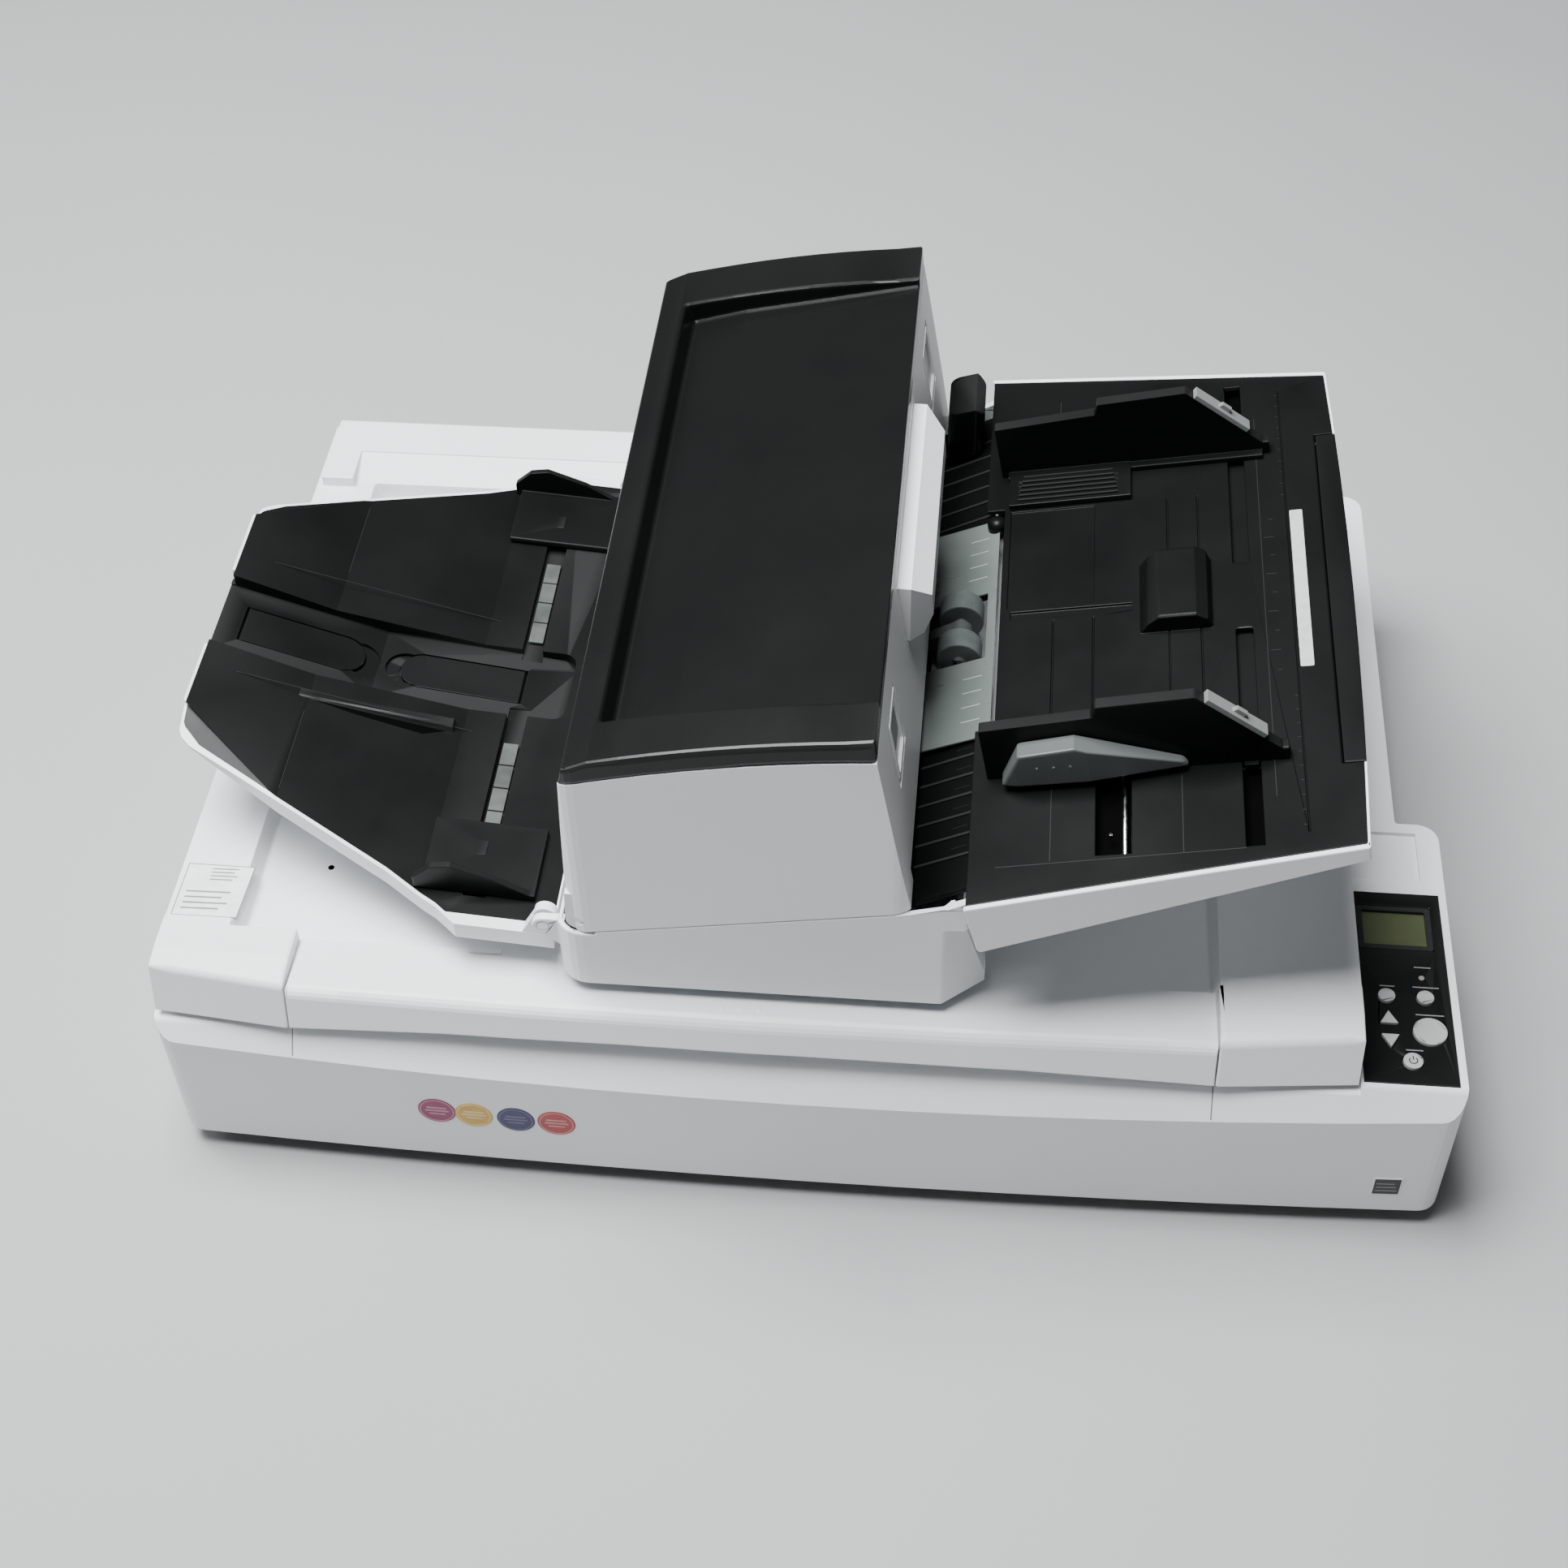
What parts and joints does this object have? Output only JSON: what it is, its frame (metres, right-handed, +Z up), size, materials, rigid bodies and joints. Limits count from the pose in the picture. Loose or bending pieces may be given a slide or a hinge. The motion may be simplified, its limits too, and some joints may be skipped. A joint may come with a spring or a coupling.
{
  "type": "sheet fed document scanner",
  "caption": "Large-format flatbed document scanner with a sheet feeder that slides and swivels on its hinged cover, a sloping feed chute, an output stacker and a button panel.",
  "frame": {"origin": "centre of the base's footprint, on the floor", "axes": "+X to the right (towards the operator panel and chute), +Y to the back, +Z up"},
  "size_m": [0.706, 0.5, 0.3385],
  "materials": {
    "white_plastic": "fine texture, satin",
    "black_plastic": "fine texture, satin",
    "black_gloss": "smooth, semi gloss",
    "steel": "brushed",
    "rubber": "matt",
    "roller_rubber": "matt, finely grooved",
    "motor_dark": "satin",
    "glass": "polished",
    "lcd": "smooth",
    "led": "smooth",
    "button_gray": "satin",
    "guide_gray": "satin",
    "clear_guide": "frosted",
    "pad_white": "soft foam sheet",
    "board_green": "solder mask"
  },
  "bodies": {
    "base": {"base_pan": "steel", "base_housing": "white_plastic", "flatbed_glass": "glass", "rubber_feet": "rubber", "carriage_rod": "steel", "carriage_motor": "motor_dark", "carriage_belt": "rubber", "main_board": "board_green", "power_inlet": "black_plastic", "usb_socket": "steel", "panel_plate": "black_gloss", "lcd_window": "lcd", "status_led": "led", "hinge_brackets": "steel", "hinge_pins": "steel"},
    "rocker": {"power_switch": "black_plastic"},
    "menu": {"menu_button": "button_gray"},
    "stop": {"stop_button": "button_gray"},
    "scan": {"scan_button": "button_gray"},
    "up": {"up_button": "button_gray"},
    "down": {"down_button": "button_gray"},
    "power": {"power_button": "button_gray"},
    "carriage": {"scan_carriage": "black_plastic", "carriage_window": "glass"},
    "cover": {"document_cover": "white_plastic", "document_pad": "pad_white"},
    "slider": {"slide_plate": "white_plastic"},
    "feeder": {"adf_foot": "white_plastic", "side_frames": "steel", "throat_guide": "black_plastic", "guide_plate": "clear_guide", "throat_block": "black_plastic", "pick_bracket": "guide_gray", "feed_motor": "motor_dark", "drive_belt": "rubber", "feeder_pins": "steel"},
    "motor_shaft": {"motor_pulley": "steel"},
    "pick": {"pick_rollers": "roller_rubber"},
    "brake": {"brake_roller": "roller_rubber"},
    "feed": {"feed_roller": "roller_rubber"},
    "exit": {"exit_roller": "roller_rubber"},
    "lid": {"adf_cover": "white_plastic", "top_tray": "black_gloss", "upper_guide": "black_plastic"},
    "latch": {"release_lever": "white_plastic"},
    "chute": {"chute_shell": "white_plastic", "chute_tray": "black_plastic"},
    "extension": {"chute_extension": "black_plastic"},
    "guide_front": {"side_guide_front": "black_plastic", "guide_tip_front": "guide_gray"},
    "guide_back": {"side_guide_back": "black_plastic", "guide_tip_back": "guide_gray"},
    "squeeze": {"guide_release": "guide_gray"},
    "stacker": {"stacker_shell": "white_plastic", "stacker_tray": "black_plastic"},
    "stopper_outer": {"outer_stopper": "black_plastic"},
    "stopper_inner": {"inner_stopper": "black_plastic"},
    "out_guide_front": {"stacker_guide_front": "black_plastic"},
    "out_guide_back": {"stacker_guide_back": "black_plastic"}
  },
  "joints": [
    {"name": "cover_hinge", "type": "hinge", "parent": "base", "child": "cover", "pos_m": [0, 0.24, 0.118], "axis": [-1, 0, 0], "range_deg": [0, 68]},
    {"name": "feeder_slide", "type": "slide", "parent": "cover", "child": "slider", "axis": [1, 0, 0], "range_m": [-0.15, 0.12]},
    {"name": "feeder_swivel", "type": "hinge", "parent": "slider", "child": "feeder", "pos_m": [-0.015, -0.019, 0.15], "axis": [0, 0, 1], "range_deg": [-90, 90]},
    {"name": "lid_hinge", "type": "hinge", "parent": "feeder", "child": "lid", "pos_m": [-0.112, -0.019, 0.194], "axis": [0, -1, 0], "range_deg": [0, 40]},
    {"name": "latch_hinge", "type": "hinge", "parent": "lid", "child": "latch", "pos_m": [0.0395, -0.014, 0.3125], "axis": [0, -1, 0], "range_deg": [0, 12], "stiffness_Nm_per_rad": 2, "springref_deg": -2.86},
    {"name": "chute_hinge", "type": "hinge", "parent": "feeder", "child": "chute", "pos_m": [0.092, -0.019, 0.224], "axis": [0, -1, 0], "range_deg": [0, 20]},
    {"name": "extension_slide", "type": "slide", "parent": "chute", "child": "extension", "axis": [0.9842, 0, 0.1771], "range_m": [0, 0.09]},
    {"name": "guide_front_slide", "type": "slide", "parent": "chute", "child": "guide_front", "axis": [0, 1, 0], "range_m": [-0.03, 0.076]},
    {"name": "guide_back_slide", "type": "slide", "parent": "chute", "child": "guide_back", "axis": [0, 1, 0], "range_m": [-0.076, 0.03]},
    {"name": "squeeze_press", "type": "slide", "parent": "guide_front", "child": "squeeze", "axis": [0.1771, 0, -0.9842], "range_m": [0, 0.0025], "stiffness_N_per_m": 400, "springref_m": -0.002},
    {"name": "stacker_hinge", "type": "hinge", "parent": "feeder", "child": "stacker", "pos_m": [-0.134, -0.019, 0.178], "axis": [0, 1, 0], "range_deg": [0, 12]},
    {"name": "stopper_outer_hinge", "type": "hinge", "parent": "stacker", "child": "stopper_outer", "pos_m": [-0.33719, -0.021, 0.20162], "axis": [0, -1, 0], "range_deg": [0, 70]},
    {"name": "stopper_inner_hinge", "type": "hinge", "parent": "stacker", "child": "stopper_inner", "pos_m": [-0.18014, -0.021, 0.16142], "axis": [0, 1, 0], "range_deg": [0, 70]},
    {"name": "out_guide_front_slide", "type": "slide", "parent": "stacker", "child": "out_guide_front", "axis": [0, 1, 0], "range_m": [0, 0.09]},
    {"name": "out_guide_back_slide", "type": "slide", "parent": "stacker", "child": "out_guide_back", "axis": [0, 1, 0], "range_m": [-0.09, 0]},
    {"name": "feed_spin", "type": "hinge", "parent": "feeder", "child": "feed", "pos_m": [0.02, -0.019, 0.194], "axis": [0, 1, 0], "continuous": true},
    {"name": "exit_spin", "type": "hinge", "parent": "feeder", "child": "exit", "pos_m": [-0.1, -0.019, 0.1716], "axis": [0, 1, 0], "continuous": true},
    {"name": "motor_spin", "type": "hinge", "parent": "feeder", "child": "motor_shaft", "pos_m": [-0.04, -0.019, 0.174], "axis": [0, 1, 0], "continuous": true},
    {"name": "pick_spin", "type": "hinge", "parent": "feeder", "child": "pick", "pos_m": [0.075, -0.019, 0.221], "axis": [0, 1, 0], "continuous": true},
    {"name": "brake_spin", "type": "hinge", "parent": "feeder", "child": "brake", "pos_m": [0.046, -0.019, 0.198], "axis": [0, 1, 0], "continuous": true},
    {"name": "carriage_slide", "type": "slide", "parent": "base", "child": "carriage", "axis": [1, 0, 0], "range_m": [0, 0.41]},
    {"name": "switch_rock", "type": "hinge", "parent": "base", "child": "rocker", "pos_m": [0.229, 0.241, 0.044], "axis": [1, 0, 0], "range_deg": [-7, 7]},
    {"name": "menu_press", "type": "slide", "parent": "base", "child": "menu", "axis": [0, 0, -1], "range_m": [0, 0.0012], "stiffness_N_per_m": 300, "springref_m": -0.001},
    {"name": "stop_press", "type": "slide", "parent": "base", "child": "stop", "axis": [0, 0, -1], "range_m": [0, 0.0012], "stiffness_N_per_m": 300, "springref_m": -0.001},
    {"name": "scan_press", "type": "slide", "parent": "base", "child": "scan", "axis": [0, 0, -1], "range_m": [0, 0.0012], "stiffness_N_per_m": 300, "springref_m": -0.001},
    {"name": "up_press", "type": "slide", "parent": "base", "child": "up", "axis": [0, 0, -1], "range_m": [0, 0.0012], "stiffness_N_per_m": 300, "springref_m": -0.001},
    {"name": "down_press", "type": "slide", "parent": "base", "child": "down", "axis": [0, 0, -1], "range_m": [0, 0.0012], "stiffness_N_per_m": 300, "springref_m": -0.001},
    {"name": "power_press", "type": "slide", "parent": "base", "child": "power", "axis": [0, 0, -1], "range_m": [0, 0.0012], "stiffness_N_per_m": 300, "springref_m": -0.001}
  ],
  "couplings": [
    {"joint": "guide_back_slide", "follows": "guide_front_slide", "ratio": -1},
    {"joint": "exit_spin", "follows": "feed_spin", "ratio": 1.25},
    {"joint": "motor_spin", "follows": "feed_spin", "ratio": 1.25},
    {"joint": "pick_spin", "follows": "feed_spin", "ratio": 0.8}
  ]
}
